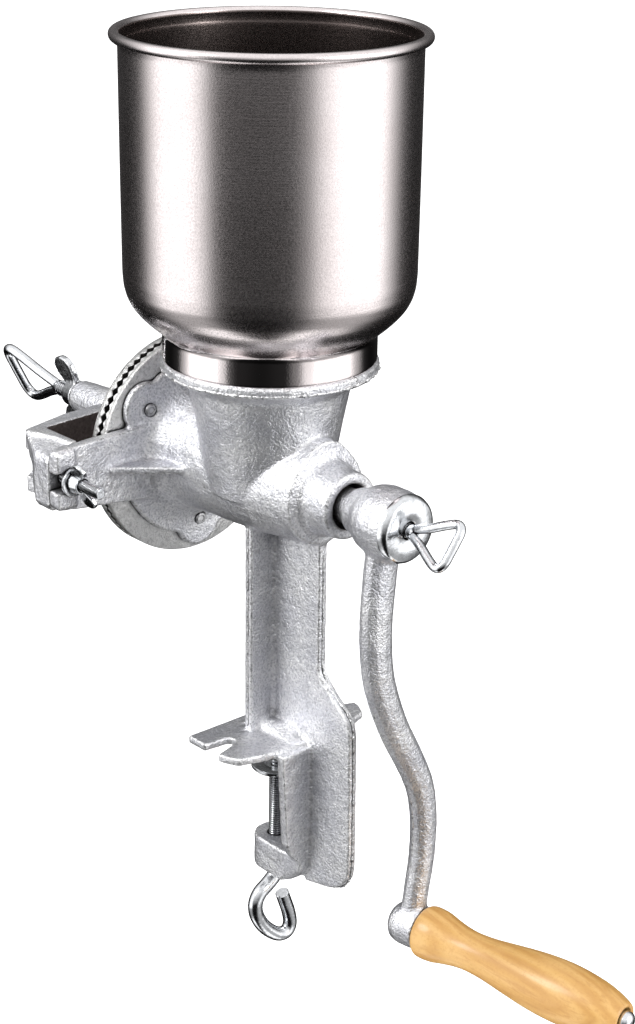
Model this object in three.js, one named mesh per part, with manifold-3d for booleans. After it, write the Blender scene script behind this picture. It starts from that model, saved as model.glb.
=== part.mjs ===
// Hand crank coffee grinder, table clamped. Millimetres, +Z up, crank end at +X.
// The inner group "mill" has its origin where the hopper axis meets the auger axis;
// the part's own origin is the table seat under the clamp plate, on the clamp screw's axis.
import * as THREE from 'three';
import { mergeVertices } from 'three/addons/utils/BufferGeometryUtils.js';
import { ConvexGeometry } from 'three/addons/geometries/ConvexGeometry.js';
import Module from 'manifold-3d';

const wasm = await Module();
wasm.setup();

// ---- driving dimensions ----
const SEAT_Z = -134.2;           // table seat below the auger axis
const SCREW_X = 7.1;             // clamp screw axis
const RIM_R = 70.3;              // hopper bead centre
const RIM_Z = 208.7;
const BEAD_R = 2.45;
const WALL = 0.8;                // hopper sheet
const NECK_R = 50.6;
const NECK_Z = 58.8;
const THROAT_R = 51.6;
const BORE_R = 20;               // auger barrel bore
const BEARING_END = 58.4;
const SHAFT_R = 8.7;
const FLANGE_X = -58;            // burr side face of the body flange
const FLANGE_T = 4;
const BURR_R = 56;
const RIVET_R = 39;              // rivet circle
const RIVET_ANGLES = [39, 141, 270];
const ARM_END = 88;              // half span of the arms
const ARM_FACE = -52;            // crank side face of the arms
const ARM_T = 5.5;
const BOLT_Y = 79;
const BOLT_R = 3;
const BRIDGE_TOP = 16.5;
const BRIDGE_LOW = -15;
const BOSS_END = -154;           // end of the bridge's boss
const ADJ_R = 4.6;               // adjusting screw
const HUB_END = 97.5;            // crank hub end face
const THUMB_R = 3.6;             // crank thumbscrew shank
const ARM_X = 82;                // plane of the crank arm
const GRIP_Y = 25;               // handle boss centre
const GRIP_Z = -222;
const GRIP_YAW = 8.4;            // degrees, the handle leans from the crank axis
const GRIP_LENGTH = 117;
const CLAMP_R = 4;               // clamp screw
const LUG_TOP = -192.5;
const LUG_LOW = -210;
const CUP_Z = -155.5;            // underside of the clamp cup
const GAP = 0.3;

// ---- geometry helpers ----
function solid(geometry) {
  const bare = geometry.clone();
  bare.deleteAttribute('normal');
  bare.deleteAttribute('uv');
  const merged = mergeVertices(bare, 1e-4);
  const p = merged.attributes.position.array;
  const tris = [];
  let volume = 0;
  for (let i = 0; i < merged.index.count; i += 3) {
    const [a, b, c] = [0, 1, 2].map((k) => merged.index.getX(i + k));
    if (a === b || b === c || a === c) continue;
    tris.push([a, b, c]);
    const [u, v, w] = [a, b, c].map((k) => new THREE.Vector3(p[3 * k], p[3 * k + 1], p[3 * k + 2]));
    volume += u.dot(v.cross(w));
  }
  const order = volume < 0 ? tris.map(([a, b, c]) => [a, c, b]) : tris;
  return new wasm.Manifold(new wasm.Mesh({
    numProp: 3,
    vertProperties: new Float32Array(p),
    triVerts: new Uint32Array(order.flat()),
  }));
}

function geometryOf(manifold) {
  const m = manifold.getMesh();
  const g = new THREE.BufferGeometry();
  g.setAttribute('position', new THREE.BufferAttribute(new Float32Array(m.vertProperties), 3));
  g.setIndex([...m.triVerts]);
  g.computeVertexNormals();
  return g;
}

const join = (parts) => parts.reduce((a, b) => a.add(b));
const cut = (body, tools) => tools.reduce((a, b) => a.subtract(b), body);

// turn a shape drawn about +Z so that it lies about the named axis
function aim(geometry, axis) {
  if (axis === 'x') geometry.applyMatrix4(new THREE.Matrix4().set(0, 0, 1, 0, 1, 0, 0, 0, 0, 1, 0, 0, 0, 0, 0, 1));
  if (axis === 'y') geometry.applyMatrix4(new THREE.Matrix4().set(0, 1, 0, 0, 0, 0, 1, 0, 1, 0, 0, 0, 0, 0, 0, 1));
  return geometry;
}

// profile: [radius, height along the axis], starting and ending on the axis or closed
function turned(axis, profile, seg = 40, at = [0, 0, 0]) {
  const g = new THREE.LatheGeometry(profile.map(([r, h]) => new THREE.Vector2(r, h)), seg);
  g.rotateX(Math.PI / 2);
  return solid(aim(g, axis).translate(...at));
}

function rod(axis, r, a, b, seg = 24, at = [0, 0, 0], r2 = r) {
  return turned(axis, [[0, a], [r, a], [r2, b], [0, b]], seg, at);
}

// outline in the plane across the axis: z -> (x,y), x -> (y,z), y -> (x,z)
function prism(axis, outline, a, b) {
  const shape = new THREE.Shape(outline.map(([u, v]) => new THREE.Vector2(u, v)));
  const g = new THREE.ExtrudeGeometry(shape, { depth: b - a, bevelEnabled: false });
  g.translate(0, 0, a);
  if (axis === 'x') aim(g, 'x');
  if (axis === 'y') g.applyMatrix4(new THREE.Matrix4().set(1, 0, 0, 0, 0, 0, 1, 0, 0, 1, 0, 0, 0, 0, 0, 1));
  return solid(g);
}

const hull = (points) => solid(new ConvexGeometry(points.map((p) => new THREE.Vector3(...p))));

function block(x0, x1, y0, y1, z0, z1) {
  const g = new THREE.BoxGeometry(x1 - x0, y1 - y0, z1 - z0);
  return solid(g.translate((x0 + x1) / 2, (y0 + y1) / 2, (z0 + z1) / 2));
}

// an open bar along a flat curve: half sizes [across, along side] at each end
function bar(points, side, from, to, steps, sides = 12) {
  const curve = new THREE.CatmullRomCurve3(points.map((p) => new THREE.Vector3(...p)));
  const g = new THREE.CylinderGeometry(1, 1, 1, sides, steps);
  const p = g.attributes.position;
  const s = new THREE.Vector3(...side);
  for (let i = 0; i < p.count; i++) {
    const t = Math.min(Math.max(p.getY(i) + 0.5, 0), 1);
    const n = curve.getTangentAt(t).cross(s).normalize();
    const q = curve.getPointAt(t);
    q.addScaledVector(n, p.getX(i) * THREE.MathUtils.lerp(from[0], to[0], t));
    q.addScaledVector(s, p.getZ(i) * THREE.MathUtils.lerp(from[1], to[1], t));
    p.setXYZ(i, q.x, q.y, q.z);
  }
  return solid(g);
}

// a closed wire ring along a flat curve
function ring(points, side, r, steps, sides = 8) {
  const curve = new THREE.CatmullRomCurve3(points.map((p) => new THREE.Vector3(...p)), true, 'catmullrom', 0.35);
  const g = new THREE.TorusGeometry(1, 0.5, sides, steps);
  const p = g.attributes.position;
  const s = new THREE.Vector3(...side);
  for (let i = 0; i < p.count; i++) {
    const around = Math.round((Math.atan2(p.getY(i), p.getX(i)) / (2 * Math.PI) + 1) * steps) % steps;
    const t = around / steps;
    const n = curve.getTangentAt(t).cross(s).normalize();
    const q = curve.getPointAt(t);
    q.addScaledVector(n, (Math.hypot(p.getX(i), p.getY(i)) - 1) * 2 * r);
    q.addScaledVector(s, p.getZ(i) * 2 * r);
    p.setXYZ(i, q.x, q.y, q.z);
  }
  return solid(g);
}

// a screw flight: a long box bent round the X axis
function flight(x0, x1, pitch, r0, r1, thick, perTurn = 16) {
  const turns = (x1 - x0) / pitch;
  const g = new THREE.BoxGeometry(1, 1, 1, 1, 1, Math.round(turns * perTurn));
  const p = g.attributes.position;
  for (let i = 0; i < p.count; i++) {
    const t = p.getZ(i) + 0.5;
    const r = p.getX(i) < 0 ? r0 : r1;
    const x = x0 + t * (x1 - x0) + p.getY(i) * thick * (p.getX(i) < 0 ? 1.4 : 1);
    const a = t * turns * 2 * Math.PI;
    p.setXYZ(i, x, r * Math.cos(a), r * Math.sin(a));
  }
  return solid(g);
}

const mirrored = (outline) => [...outline, ...outline.map(([u, v]) => [-u, v]).reverse()];
const polar = (r, deg) => [r * Math.cos(deg * Math.PI / 180), r * Math.sin(deg * Math.PI / 180)];

// ---- the casting ----
function throat() {
  const outer = [[0, -6], [29.5, -6], [33.6, 20], [38, 42], [39, 47], [42.5, 50], [47.5, 52.4],
    [51, 53.6], [THROAT_R, 55], [THROAT_R, NECK_Z - GAP], [NECK_R - WALL - GAP, NECK_Z - GAP],
    [NECK_R - WALL - GAP, 66], [0, 66]];
  return turned('z', outer, 36);
}

function barrel() {
  const profile = [[0, FLANGE_X], [42, FLANGE_X], [42, FLANGE_X + FLANGE_T], [37, -53], [33, -50], [30, -43],
    [29, -30], [28.5, -9], [27, 12], [25, 30], [24, 37], [23.5, 41], [18.5, 42], [17, 45],
    [16.2, 57], [15.6, BEARING_END], [0, BEARING_END]];
  return turned('x', profile, 30);
}

function burrFlange() {
  const parts = [rod('x', 46, FLANGE_X, FLANGE_X + FLANGE_T, 36)];
  for (const angle of RIVET_ANGLES) {
    const [y, z] = polar(RIVET_R + 1, angle);
    parts.push(rod('x', 13.2, FLANGE_X, FLANGE_X + FLANGE_T, 20, [0, y, z]));
  }
  return join(parts);
}

function arm(side) {
  const outline = [[20, 17.5], [46, 17.3], [84, 16.2], [86.6, 15.4], [ARM_END, 13.6], [ARM_END, -11.5],
    [86, -14.2], [75, -15.6], [40, -19.5], [20, -22]];
  const slot = [[ARM_END + 1, 4.6], [79, 4.4], [75.8, 2.8], [74.4, 0], [75.8, -2.8], [79, -4.4], [ARM_END + 1, -4.6]];
  const web = [[ARM_FACE - 2, 57.5], [ARM_FACE + 0.8, 57.5], [-47, 51.5], [-39, 42], [-31, 32], [-24, 26],
    [-24, 18], [ARM_FACE - 2, 18]];
  const pads = [block(ARM_FACE - 0.5, ARM_FACE + 1.6, 77, ARM_END - 0.6, 5.2, 14.6),
    block(ARM_FACE - 0.5, ARM_FACE + 1.6, 77, ARM_END - 0.6, -13, -5.2)];
  const solidArm = join([prism('x', outline, ARM_FACE - ARM_T, ARM_FACE), prism('z', web, -2.2, 1.6), ...pads])
    .subtract(prism('x', slot, ARM_FACE - ARM_T - 1, ARM_FACE + 3));
  return side > 0 ? solidArm : solidArm.mirror([0, 1, 0]);
}

function shoulder() {
  return prism('x', mirrored([[0, 27.3], [4, 26.8], [9, 24.6], [15, 19], [20, 10], [19, 0]]), 33, 41);
}

function post() {
  const web = [[SCREW_X - 3, -15], [40, -15], [40, -86], [41, -91], [43.7, -94.5], [51, -101], [58.4, -106],
    [61.6, -110], [63.2, -116], [63.8, -150], [64.2, -188.5], [63, -194.5], [60, -199.5], [56.5, -202.4],
    [51, -204.8], [44, -206.4], [32, LUG_LOW + 1.2], [32, SEAT_Z + 2], [SCREW_X - 3, SEAT_Z + 2]];
  const column = block(2, 7.1, -17, 17, SEAT_Z + 2, -12);
  const spine = prism('x', mirrored([[20.6, SEAT_Z + 2], [20.4, -140], [17.6, -183], [14.5, -189.5], [11, LUG_TOP - 1]]),
    31, 36);
  return join([prism('y', web, -2.6, 2.6), column, spine]);
}

function clampPlate() {
  const half = [[-9.4, 0], [-9.4, 43.4], [3.6, 43.4], [4.6, 30.5], [6, 28.7], [9.6, 28.7], [11, 30.5],
    [15.4, 44.8], [20, 43.8], [26.4, 40.4], [30.6, 27], [32.8, 12]];
  const outline = [...half, ...half.slice(1).map(([x, y]) => [x, -y]).reverse()];
  const fillet = hull([[-4, -14, SEAT_Z + 3.5], [-4, 14, SEAT_Z + 3.5], [31, -12, SEAT_Z + 3.5], [31, 12, SEAT_Z + 3.5],
    [2, -9, SEAT_Z + 9], [2, 9, SEAT_Z + 9], [24, -3, SEAT_Z + 9], [24, 3, SEAT_Z + 9]]);
  return prism('z', outline, SEAT_Z, SEAT_Z + 4).add(fillet);
}

function clampLug() {
  const outline = [[24, 11], [SCREW_X, 11]];
  for (let a = 110; a <= 250; a += 20) outline.push([SCREW_X + 11.2 * Math.cos(a * Math.PI / 180),
    11.2 * Math.sin(a * Math.PI / 180)]);
  outline.push([SCREW_X, -11], [24, -11]);
  const root = [-1, 1].flatMap((s) => [[20, s * 11, LUG_TOP], [20, s * 11, LUG_LOW], [36, s * 9.5, LUG_TOP],
    [36, s * 9, -199], [31, s * 6, -206], [26, s * 8.5, LUG_LOW + 0.6]]);
  return prism('z', outline, LUG_LOW, LUG_TOP).add(hull(root));
}

function millBody() {
  const body = join([throat(), barrel(), burrFlange(), arm(1), arm(-1), shoulder(), post(), clampPlate(),
    clampLug()]);
  const funnel = turned('z', [[0, 67], [46.4, 67], [46.4, 57.6], [42, 55], [37, 51.4], [34.6, 47],
    [33.4, 42], [28.8, 20], [18, 4], [14, -4], [0, -4]], 32);
  const bores = [funnel, rod('x', BORE_R, FLANGE_X - 1, 29, 28), rod('x', SHAFT_R + 0.4, 28, 60, 24),
    rod('x', SHAFT_R + 2.2, 50, 60, 24), rod('z', CLAMP_R + GAP, LUG_LOW - 1, LUG_TOP + 1, 16, [SCREW_X, 0, 0])];
  for (const angle of RIVET_ANGLES) {
    const at = [0, ...polar(RIVET_R, angle)];
    bores.push(rod('x', 2.32, FLANGE_X - 1, -50, 16, at), rod('x', 3.7, FLANGE_X + FLANGE_T, -46, 20, at));
  }
  return cut(body, bores);
}

// ---- sheet, burrs and auger ----
function hopper() {
  const outside = [[NECK_R, NECK_Z], [NECK_R, 70.6], [52, 73.2], [58.2, 79], [64.3, 85.6], [67.4, 93],
    [68.4, 101], [68.7, 203.5]];
  const bead = [];
  for (let k = 0; k <= 5; k++) {
    const a = (-125 + 60 * k) * Math.PI / 180;
    bead.push([RIM_R + BEAD_R * Math.cos(a), RIM_Z + BEAD_R * Math.sin(a)]);
  }
  const inside = outside.slice(0, -1).reverse().map(([r, z]) => [r - WALL, z]);
  const profile = [...outside, ...bead, [68.7 - WALL, 203.5], ...inside];
  return turned('z', [...profile, profile[0]], 48);
}

function auger() {
  const core = turned('x', [[0, -80], [7, -80], [7, -60], [9, -52], [11, 26], [SHAFT_R, 28.5], [SHAFT_R, 92.5],
    [0, 92.5]], 24);
  const worm = flight(-53, 20, 26, 7, BORE_R - 1.2, 4);
  const pin = rod('y', 2.02, -30, 30, 12, [-72, 0, 0]);
  return cut(core.add(worm), [pin, rod('x', THUMB_R + GAP, 84, 94, 16)]);
}

function stationaryBurr() {
  const holes = RIVET_ANGLES.map((a) => rod('x', 2.32, -64, -57, 16, [0, ...polar(RIVET_R, a)]));
  const disc = turned('x', [[BORE_R, -62.8], [BURR_R - 0.6, -62.8], [BURR_R, -62.3], [BURR_R, -58.9],
    [BURR_R - 0.6, FLANGE_X - 0.02], [BORE_R, FLANGE_X - 0.02], [BORE_R, -62.8]], 40);
  return cut(disc, holes);
}

function rotatingBurr() {
  const disc = turned('x', [[17, -68.6], [BURR_R - 0.6, -68.6], [BURR_R, -68], [BURR_R, -64.2],
    [BURR_R - 0.6, -63.6], [26, -63.6], [17, -66], [17, -68.6]], 40);
  return cut(disc, [-1, 1].map((s) => rod('x', 2.52, -70, -63, 14, [0, 0, s * 30])));
}

function burrCarrier() {
  const plate = hull([[-72.6, -8, 38], [-72.6, 8, 38], [-72.6, -8, -38], [-72.6, 8, -38],
    [-68.62, -8, 38], [-68.62, 8, 38], [-68.62, -8, -38], [-68.62, 8, -38]]);
  const hub = rod('x', 14, -78, -66.5, 32);
  const cutters = [rod('x', 7.02, -90, -60, 24), rod('y', 2.02, -30, 30, 12, [-72, 0, 0])];
  for (const s of [-1, 1]) cutters.push(rod('x', 2.52, -80, -60, 14, [0, 0, s * 30]));
  return cut(plate.add(hub), cutters);
}

const drivePin = () => rod('y', 2, -13.6, 13.6, 12, [-72, 0, 0]);
const rivet = () => turned('x', [[0, -62.6], [2.3, -62.6], [2.3, -53.98], [3.4, -53.98], [3.1, -52.8], [1.8, -52.2],
  [0, -52]], 16);
const carrierScrew = () => turned('x', [[0, -76], [4.2, -76], [4.8, -74.8], [4.8, -72.62], [2.5, -72.62],
  [2.5, -64.2], [0, -64.2]], 14);

// ---- bridge and its hardware ----
function bridge() {
  const inner = [[-57.8, 70.5], [-84, 70.5], [-87, 40], [-88, 16], [-88, 0]];
  const outer = [[-96, 0], [-97.5, 28], [-96, 51], [-88.6, 79], [-86.4, 81], [-82, 80], [-70, 75.4], [-57.8, 74.5]];
  const flip = (pts) => pts.map(([x, y]) => [x, -y]).reverse();
  const outline = [...inner, ...flip(inner).slice(1), ...flip(outer), ...outer.slice(1)];
  const parts = [prism('z', outline, BRIDGE_LOW, BRIDGE_TOP)];
  for (const s of [-1, 1]) {
    parts.push(hull([[-86.4, 80.6, 15], [-84, 71, 16], [-60, 71, 15.6], [-60, 75, 14.5], [-80, 80, -8],
      [-69.5, 86.6, 11.6], [-57.8, 86.6, 11.6], [-69.5, ARM_END, 9], [-57.8, ARM_END, 9], [-69.5, ARM_END, -13],
      [-57.8, ARM_END, -13], [-69.5, 86, -15.8], [-57.8, 86, -15.8], [-76, 71, -14.8], [-57.8, 71, -14.8],
    ].map(([x, y, z]) => [x, s * y, z])));
  }
  const boss = turned('x', [[0, -92], [17, -92], [15.5, -98], [12.4, -103], [11, -112], [8.6, BOSS_END + 1],
    [8, BOSS_END], [0, BOSS_END]].reverse(), 24);
  const bores = [rod('x', ADJ_R + GAP, BOSS_END - 1, -80, 16)];
  for (const s of [-1, 1]) {
    bores.push(rod('x', BOLT_R + 0.02, -100, -50, 16, [0, s * BOLT_Y, 0]));
    bores.push(rod('x', 7.4, -100, -69.5, 6, [0, s * BOLT_Y, 0]));
  }
  return cut(join([...parts, boss]), bores);
}

const bridgeBolt = (tip) => turned('x', [[0, -75.5], [5.4, -75.5], [6.2, -74.8], [6.2, -69.52], [BOLT_R, -69.52],
  [BOLT_R, tip - 1], [2.4, tip], [0, tip]], 16);
const bridgeWasher = () => turned('x', [[BOLT_R + GAP, -50.1], [7.2, -50.1], [7.2, -48.5], [BOLT_R + GAP, -48.5],
  [BOLT_R + GAP, -50.1]], 16);

// a wing nut about X with its seat at x = 0 and its wings leaning towards +X
function wingNut(bore, hub, height, span, thick) {
  const wing = [[0.8, hub * 0.6], [0.5, hub], [0.9, span * 0.6], [height * 0.3, span * 0.84],
    [height * 0.7, span * 0.97], [height * 1.2, span], [height * 1.7, span * 0.92], [height * 1.95, span * 0.73],
    [height * 1.7, span * 0.5], [height * 0.98, hub * 0.6]];
  const parts = [turned('x', [[0, 0], [hub, 0], [hub * 0.84, height], [0, height]], 18),
    prism('y', wing, -thick / 2, thick / 2),
    prism('y', wing.map(([x, z]) => [x, -z]), -thick / 2, thick / 2)];
  return join(parts).subtract(rod('x', bore, -1, height + 1, 14));
}

// a rounded three-cornered wire loop in the XZ plane, apex at x = 0, opening towards +X
function loop(length, half, r) {
  const points = [[0.5, 0, -r * 0.9], [length * 0.5, 0, -half * 0.62], [length * 0.86, 0, -half],
    [length * 0.99, 0, -half * 0.72], [length, 0, 0], [length * 0.99, 0, half * 0.72], [length * 0.86, 0, half],
    [length * 0.5, 0, half * 0.62], [0.5, 0, r * 0.9]];
  return ring(points, [0, 1, 0], r, 30);
}

function adjustingScrew() {
  return join([rod('x', ADJ_R, 0, 83, 16), rod('x', 3.9, 82, 88, 12), loop(39, 16.6, 2.7).translate([85.5, 0, 0])]);
}

function crankScrew() {
  return join([rod('x', THUMB_R, -12, 3.2, 14), loop(25, 10.8, 2.25).translate([2.2, 0, 0])]);
}

// ---- crank and handle ----
function crank() {
  const hub = turned('x', [[0, 62.5], [10.6, 62.5], [11.4, 66], [12.6, 70], [15.4, 74.5], [16.9, 80], [16.9, 88],
    [16, 93], [14.6, 96.6], [14, HUB_END], [0, HUB_END]], 28);
  const path = [[ARM_X, -0.5, -6], [ARM_X, -3.4, -30], [ARM_X, -4.8, -55], [ARM_X, -2.6, -77], [ARM_X, 1.6, -91],
    [ARM_X, 9.2, -109], [ARM_X, 19, -127], [ARM_X, 27, -144], [ARM_X, 30.4, -162], [ARM_X, 30.4, -182],
    [ARM_X, 27.6, -202], [ARM_X, GRIP_Y, -217]];
  const arm = bar(path, [1, 0, 0], [9.4, 6.6], [6.6, 6], 26, 12);
  const boss = turned('x', [[0, -10.6], [7, -10], [9.8, -7.4], [11, -3.5], [11, 6.6], [10.2, 7.4], [0, 7.4]], 20)
    .rotate([0, 0, GRIP_YAW]).translate([ARM_X, GRIP_Y, GRIP_Z]);
  const hole = rod('x', 3.62, -9, 9, 20).rotate([0, 0, GRIP_YAW]).translate([ARM_X, GRIP_Y, GRIP_Z]);
  const bores = [rod('x', SHAFT_R + 0.02, 60, 93, 24), rod('x', THUMB_R + 0.5, 90, 99, 20), hole];
  return cut(join([hub, arm, boss]), bores);
}

function handleGrip() {
  const outer = [[12.4, 0], [13.2, 1.2], [13.4, 5], [13, 10], [11.6, 16], [10.2, 24], [9.8, 30], [10.4, 40],
    [12.4, 54], [14.2, 68], [14.8, 80], [14.3, 92], [12.8, 103], [10.4, 111.5], [8.6, 115.6], [7.6, GRIP_LENGTH]];
  const inner = [[6, GRIP_LENGTH], [6, 110], [4, 110], [4, 0]];
  const profile = [...outer, ...inner, outer[0]];
  return turned('x', profile, 24);
}

const handleBolt = () => turned('x', [[0, -16.4], [3.6, -16.4], [3.6, 110.3], [5.4, 110.3], [5.4, 113],
  [5, 115], [5, 118.4], [4.2, 120.2], [2.4, 121], [0, 121.2]], 20);

// ---- clamp ----
function clampScrew() {
  const hook = [[0, 0, -208], [0, 0, -211], [0, 0, -214.2], [0, -1.6, -218], [0, -6, -221.4], [0, -11, -224.4], [0, -13.8, -229],
    [0, -13, -236], [0, -8.6, -244], [0, -2.5, -250.6], [0, 3, -254.6], [0, 8, -255], [0, 9.8, -250.5],
    [0, 8.6, -243], [0, 6.2, -236], [0, 4.2, -230.4]];
  const shank = turned('z', [[0, -212], [CLAMP_R, -212], [CLAMP_R, -158], [2.6, -157.2], [2.6, -151.2], [0, -151.2]], 16);
  return shank.add(bar(hook, [1, 0, 0], [CLAMP_R, CLAMP_R], [3.6, 3.6], 28, 8));
}

function clampCup() {
  const profile = [[3, CUP_Z], [8, CUP_Z], [12.9, CUP_Z + 1.2], [12.9, CUP_Z + 2.8], [6, CUP_Z + 2.8],
    [6, CUP_Z + 1.6], [3, CUP_Z + 1.6], [3, CUP_Z]];
  return turned('z', profile, 24);
}

// ---- assembly ----
const part = new THREE.Group();
part.name = 'hand_crank_coffee_grinder';
const mill = new THREE.Group();
mill.position.set(-SCREW_X, 0, -SEAT_Z);
part.add(mill);

function place(name, shape, color, metalness, roughness, at = [0, 0, 0], turn = [0, 0, 0]) {
  const material = new THREE.MeshStandardMaterial({ color, metalness, roughness });
  const mesh = new THREE.Mesh(geometryOf(shape), material);
  mesh.name = name;
  mesh.position.set(...at);
  mesh.rotation.set(...turn);
  mill.add(mesh);
}

const CAST = [0xc9cacc, 0.9, 0.42];
const SHEET = [0xb9b3b0, 1, 0.28];
const ZINC = [0xd4d6d8, 1, 0.22];
const STEEL = [0x9a9a9c, 1, 0.4];
const TURN = Math.PI / 180;

place('mill_body', millBody(), ...CAST);
place('hopper', hopper(), ...SHEET);
place('auger', auger(), ...CAST);
place('stationary_burr', stationaryBurr(), ...CAST);
place('rotating_burr', rotatingBurr(), ...CAST);
place('burr_carrier', burrCarrier(), ...CAST);
place('drive_pin', drivePin(), ...STEEL);
RIVET_ANGLES.forEach((angle, i) => {
  place(`burr_rivet_${i + 1}`, rivet(), ...STEEL, [0, ...polar(RIVET_R, angle)]);
});
[-1, 1].forEach((s, i) => place(`carrier_screw_${i + 1}`, carrierScrew(), ...ZINC, [0, 0, s * 30]));
place('thrust_ball', solid(new THREE.IcosahedronGeometry(4.4, 2)), ...STEEL, [-84.7, 0, 0]);
place('bridge', bridge(), ...CAST);
for (const [s, tag, tip] of [[-1, 'near', -28], [1, 'far', -37]]) {
  place(`bridge_bolt_${tag}`, bridgeBolt(tip), ...ZINC, [0, s * BOLT_Y, 0]);
  place(`bridge_washer_${tag}`, bridgeWasher(), ...ZINC, [0, s * BOLT_Y, 0]);
  place(`bridge_wingnut_${tag}`, wingNut(BOLT_R + GAP, 5.2, 6, 12.4, 2.2), ...ZINC, [-48.2, s * BOLT_Y, 0],
    [-0.35 * s, 0, 0]);
}
place('adjusting_screw', adjustingScrew(), ...ZINC, [-89.4, 0, 0], [27 * TURN, 0, Math.PI]);
place('lock_wingnut', wingNut(ADJ_R + GAP, 8, 9, 21, 3.4), ...ZINC, [BOSS_END - GAP, 0, 0], [12 * TURN, 0, Math.PI]);
place('crank', crank(), ...CAST);
place('crank_thumbscrew', crankScrew(), ...ZINC, [HUB_END, 0, 0], [-38 * TURN, 0, 0]);
const grip = [ARM_X + 7.8 * Math.cos(GRIP_YAW * TURN), GRIP_Y + 7.8 * Math.sin(GRIP_YAW * TURN), GRIP_Z];
place('handle_grip', handleGrip(), 0xd9a863, 0, 0.4, grip, [0, 0, GRIP_YAW * TURN]);
place('handle_bolt', handleBolt(), ...ZINC, grip, [0, 0, GRIP_YAW * TURN]);
place('clamp_screw', clampScrew(), ...ZINC, [SCREW_X, 0, 0]);
place('clamp_cup', clampCup(), ...ZINC, [SCREW_X, 0, 0]);

export default part;
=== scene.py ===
import math
import bmesh
import bpy
from mathutils import Matrix, Vector, noise


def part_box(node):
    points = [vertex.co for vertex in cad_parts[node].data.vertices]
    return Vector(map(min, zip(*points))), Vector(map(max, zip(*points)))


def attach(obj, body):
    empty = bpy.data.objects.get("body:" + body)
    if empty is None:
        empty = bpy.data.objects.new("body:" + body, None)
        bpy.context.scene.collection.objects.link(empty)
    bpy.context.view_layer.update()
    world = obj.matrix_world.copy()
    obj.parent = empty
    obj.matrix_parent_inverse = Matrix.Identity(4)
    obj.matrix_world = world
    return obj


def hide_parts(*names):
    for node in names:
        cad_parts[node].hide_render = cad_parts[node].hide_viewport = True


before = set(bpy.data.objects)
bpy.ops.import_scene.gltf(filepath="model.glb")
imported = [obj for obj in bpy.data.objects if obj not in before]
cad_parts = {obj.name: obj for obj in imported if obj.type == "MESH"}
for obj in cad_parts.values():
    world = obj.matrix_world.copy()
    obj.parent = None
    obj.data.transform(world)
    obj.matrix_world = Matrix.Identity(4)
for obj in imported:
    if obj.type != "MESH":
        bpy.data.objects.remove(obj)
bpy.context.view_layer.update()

MM = 0.001
TAU = 2 * math.pi


def middle(node):
    lo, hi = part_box(node)
    return (lo + hi) / 2


MILL = Vector((middle("hopper").x, 0, middle("rotating_burr").z))


def box_mm(node):
    """Lowest and highest corner of a CAD node in the mill's frame."""
    lo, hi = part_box(node)
    return (lo - MILL) / MM, (hi - MILL) / MM


# ---- sizes taken from the frame ----
RIM_OUT = box_mm("hopper")[1].x
RIM_TOP = box_mm("hopper")[1].z
NECK_LOW = box_mm("hopper")[0].z
BURR_R = box_mm("rotating_burr")[1].y
FIXED_FACE, FIXED_BACK = (v.x for v in box_mm("stationary_burr"))
TURNING_BACK, TURNING_FACE = (v.x for v in box_mm("rotating_burr"))
BOLT_Y = middle("bridge_bolt_far").y / MM
BOLT_HEAD = box_mm("bridge_bolt_far")[0].x
WASHER_LOW, WASHER_HIGH = (v.x for v in box_mm("bridge_washer_far"))
SCREW_X = (middle("clamp_cup").x - MILL.x) / MM
CUP_LOW, CUP_TOP = (v.z for v in box_mm("clamp_cup"))
CUP_R = box_mm("clamp_cup")[1].y
SCREW_TOP = box_mm("clamp_screw")[1].z
LOOP_END, ADJUST_TIP = (v.x for v in box_mm("adjusting_screw"))
THUMB_TIP, THUMB_LOOP_END = (v.x for v in box_mm("crank_thumbscrew"))

# ---- sizes of the pieces ----
BEAD_R = 2.45
WALL = 0.8
NECK_R = 50.6
RIVET_R = 39
RIVET_ANGLES = (39, 141, 270)
RIVET_HEAD_X = -53.98
BURR_TEETH = 76
ADJ_R, THUMB_R, BOLT_R, CLAMP_R = 4.6, 3.6, 3.0, 4.0
ADJ_PITCH, THUMB_PITCH, BOLT_PITCH, CLAMP_PITCH = 1.5, 1.0, 1.0, 1.25
ADJ_SHANK = 83
ADJ_LOOP_HALF, ADJ_WIRE_R, ADJ_LOOP_TURN = 16.4, 2.7, math.radians(27)
THUMB_LOOP_HALF, THUMB_WIRE_R, THUMB_LOOP_TURN = 10.8, 2.2, math.radians(-38)
BOLT_HEX_R = 6.2
LUG_LOW = -210.5
HUB_END = 97.5
CRANK_X = 82
CRANK_LINE = ((-3.2, -28, 8.8), (-4.8, -55, 8.2), (-2.6, -77, 7.9), (1.6, -91, 8.0), (9.2, -109, 8.2),
              (19, -127, 8.0), (27, -144, 7.6), (30.4, -162, 7.2), (30.4, -182, 6.9), (28, -200, 6.7))
GRIP_AT = Vector((CRANK_X, 25, -222))
GRIP_YAW = math.radians(8.4)
GRIP_SEAT = 7.8
GRIP_LENGTH = 117
BRIDGE_INNER_X, BRIDGE_INNER_Y = -89, 71.2

# ---- camera ----
CAMERA_AZ, CAMERA_EL, CAMERA_ROLL = (math.radians(v) for v in (48.209, 21.181, 0.813))
CAMERA_TARGET = Vector((0.02808, 0, 0.12477))
CAMERA_DISTANCE = 1.0064
LENS = 75.21
FLOOR_Z = -0.7

# ---- light: what the metal reflects ----
LIGHT_TARGET = (0, 0, 0.15)
CEILING = (1.15, 1.15, 1.15, 1)
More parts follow.
